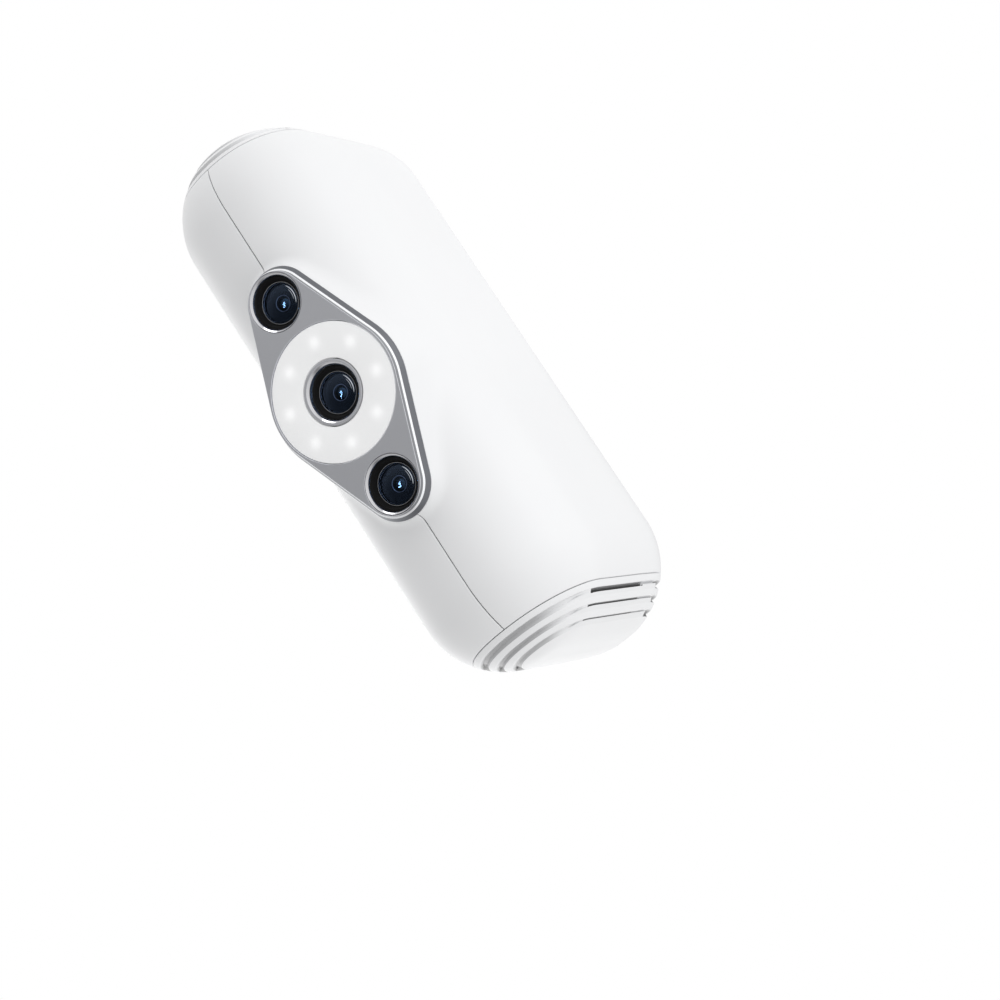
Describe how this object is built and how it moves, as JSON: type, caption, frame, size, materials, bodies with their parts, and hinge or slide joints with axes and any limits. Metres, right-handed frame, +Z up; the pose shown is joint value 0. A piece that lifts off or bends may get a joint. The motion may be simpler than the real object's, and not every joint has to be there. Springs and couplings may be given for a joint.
{
  "type": "handheld 3-d scanner",
  "caption": "Compact handheld 3-D scanner: white domed shell, lozenge lens plate with ring light, vented end caps and a push button on the back.",
  "frame": {"origin": "centre of the bounding box at the lower end, where the tripod insert's face lies", "axes": "+Z up along the body, -Y out of the front plate, +X to the right seen from the front"},
  "size_m": [0.0324, 0.0496, 0.105],
  "materials": {
    "shell": "satin white moulded plastic with a fine sheen",
    "black_plastic": "matt black",
    "plate": "satin grey anodised with a polished chamfer",
    "chrome": "polished",
    "diffuser": "translucent white",
    "rubber": "matt",
    "glass": "coated, dark blue",
    "bench": "machined",
    "board": "solder mask",
    "led": "white LED package",
    "chip": "moulded package",
    "steel": "plated",
    "brass": "turned",
    "light_pipe": "clear"
  },
  "bodies": {
    "body": {"bench_screw_1": "steel", "bench_screw_2": "steel", "bench_screw_3": "steel", "bench_screw_4": "steel", "board_screw_1": "steel", "board_screw_2": "steel", "board_screw_3": "steel", "board_screw_4": "steel", "bottom_cap": "shell", "bottom_end_frame": "black_plastic", "button_board": "board", "button_switch": "chip", "centre_bezel": "chrome", "centre_camera_board": "board", "centre_front_glass": "glass", "centre_inner_lens": "glass", "centre_iris": "black_plastic", "centre_lens_barrel": "black_plastic", "frame_screw_1": "steel", "frame_screw_2": "steel", "frame_screw_3": "steel", "frame_screw_4": "steel", "front_plate": "plate", "heat_sink": "bench", "led_1": "led", "led_2": "led", "led_3": "led", "led_4": "led", "led_5": "led", "led_6": "led", "led_7": "led", "led_8": "led", "led_board": "board", "left_shell": "shell", "lower_bezel": "chrome", "lower_camera_board": "board", "lower_front_glass": "glass", "lower_inner_lens": "glass", "lower_iris": "black_plastic", "lower_lens_barrel": "black_plastic", "main_board": "board", "optical_bench": "bench", "plate_gasket": "rubber", "processor": "chip", "right_shell": "shell", "ring_diffuser": "diffuser", "status_light_pipe": "light_pipe", "top_cap": "shell", "top_end_frame": "black_plastic", "tripod_insert": "brass", "upper_bezel": "chrome", "upper_camera_board": "board", "upper_front_glass": "glass", "upper_inner_lens": "glass", "upper_iris": "black_plastic", "upper_lens_barrel": "black_plastic", "usb_board": "board", "usb_c_port": "steel"},
    "button": {"power_button": "shell"}
  },
  "joints": [
    {"name": "button_press", "type": "slide", "parent": "body", "child": "button", "axis": [0, -1, 0], "range_m": [0, 0.0005], "stiffness_N_per_m": 1500, "springref_m": -0.0003}
  ]
}
